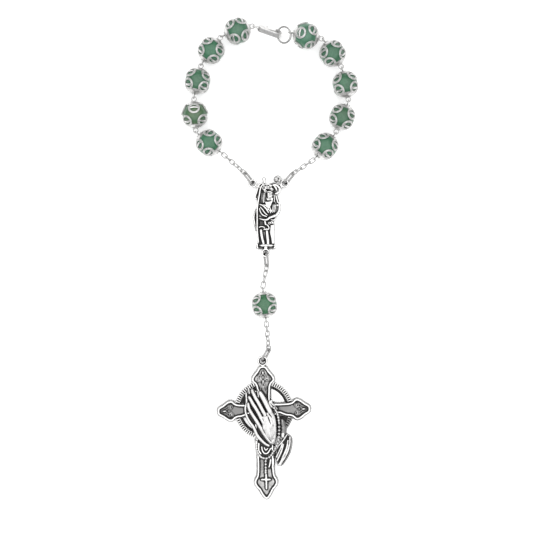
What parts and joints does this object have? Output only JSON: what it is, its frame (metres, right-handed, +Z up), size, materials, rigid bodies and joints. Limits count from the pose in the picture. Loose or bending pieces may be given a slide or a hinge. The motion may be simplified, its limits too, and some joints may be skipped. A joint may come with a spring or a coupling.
{
  "type": "rosary bracelet",
  "caption": "Rosary bracelet: green stone beads in pierced silver caps, a lobster clasp, a cast saint centrepiece and a pendant crucifix with praying hands.",
  "frame": {"origin": "bottom centre of the whole lying piece, on the surface that it rests on", "axes": "+X to the right, +Y from the crucifix towards the clasp, +Z up from the surface"},
  "size_m": [0.07, 0.1915, 0.0109],
  "materials": {
    "green_stone": "polished milky green stone",
    "cap_silver": "bright silver plate with beaded edges",
    "wire_silver": "bright silver-plated wire",
    "dark_silver": "antique silver wire",
    "clasp_silver": "bright silver-plated casting",
    "antique_silver": "polished antique silver casting with a black patina in its recesses"
  },
  "bodies": {
    "root": {"bead_01": "green_stone", "bead_02": "green_stone", "bead_03": "green_stone", "bead_04": "green_stone", "bead_05": "green_stone", "bead_06": "green_stone", "bead_07": "green_stone", "bead_08": "green_stone", "bead_09": "green_stone", "bead_10": "green_stone", "bead_drop": "green_stone", "cap_01_a": "cap_silver", "cap_01_b": "cap_silver", "cap_02_a": "cap_silver", "cap_02_b": "cap_silver", "cap_03_a": "cap_silver", "cap_03_b": "cap_silver", "cap_04_a": "cap_silver", "cap_04_b": "cap_silver", "cap_05_a": "cap_silver", "cap_05_b": "cap_silver", "cap_06_a": "cap_silver", "cap_06_b": "cap_silver", "cap_07_a": "cap_silver", "cap_07_b": "cap_silver", "cap_08_a": "cap_silver", "cap_08_b": "cap_silver", "cap_09_a": "cap_silver", "cap_09_b": "cap_silver", "cap_10_a": "cap_silver", "cap_10_b": "cap_silver", "cap_drop_a": "cap_silver", "cap_drop_b": "cap_silver", "pin_01": "wire_silver", "pin_02": "wire_silver", "pin_03": "wire_silver", "pin_04": "wire_silver", "pin_05": "wire_silver", "pin_06": "wire_silver", "pin_07": "wire_silver", "pin_08": "wire_silver", "pin_09": "wire_silver", "pin_10": "wire_silver", "pin_drop": "wire_silver", "chain_left": "wire_silver", "chain_right": "wire_silver", "chain_upper": "wire_silver", "chain_lower": "wire_silver", "oval_left": "dark_silver", "oval_right": "dark_silver", "oval_foot": "dark_silver", "oval_bail": "dark_silver", "clasp_body": "clasp_silver", "clasp_ring": "clasp_silver", "centrepiece": "antique_silver", "crucifix": "antique_silver"},
    "lever": {"clasp_lever": "clasp_silver"}
  },
  "joints": [
    {"name": "clasp_lever_pivot", "type": "hinge", "parent": "root", "child": "lever", "pos_m": [-0.00328, 0.09184, 0.00374], "axis": [-0.3402, -0.7273, -0.5961], "range_deg": [0, 20], "stiffness_Nm_per_rad": 0.002}
  ]
}
